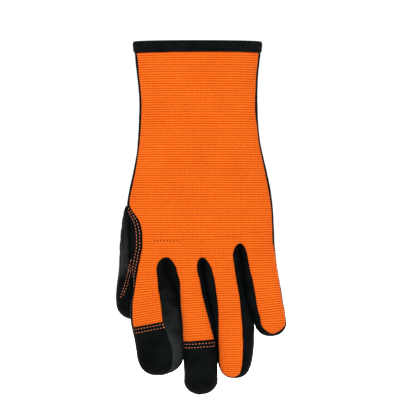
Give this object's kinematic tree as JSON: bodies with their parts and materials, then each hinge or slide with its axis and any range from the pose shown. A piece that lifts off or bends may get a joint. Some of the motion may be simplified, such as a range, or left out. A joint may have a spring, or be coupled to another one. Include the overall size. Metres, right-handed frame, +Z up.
{
  "type": "mechanic glove",
  "caption": "Left work glove with a ribbed knit back, leather palm, side strips, stitched fingertip caps and a reinforced palm, hanging empty with its fingers down",
  "frame": {"origin": "middle of the cuff mouth", "axes": "+Z up out of the cuff, fingers hang towards -Z, back of the hand towards -Y, palm +Y, thumb on the -X side"},
  "size_m": [0.1151, 0.0441, 0.2399],
  "materials": {
    "knit": "ribbed bright orange stretch knit",
    "leather": "matte black synthetic leather",
    "side_leather": "soft matte black synthetic leather",
    "patch_leather": "matte black synthetic leather, a second layer",
    "binding": "black woven tape"
  },
  "bodies": {
    "root": {"back_panel": "knit", "index_tip_cap": "leather", "middle_tip_cap": "leather", "fourchette_index_middle": "side_leather", "fourchette_middle_ring": "side_leather", "fourchette_ring_little": "side_leather", "palm_panel": "leather", "thumb_saddle": "leather", "thumb_sleeve": "leather", "cuff_binding": "binding", "palm_reinforcement": "patch_leather"}
  },
  "joints": []
}
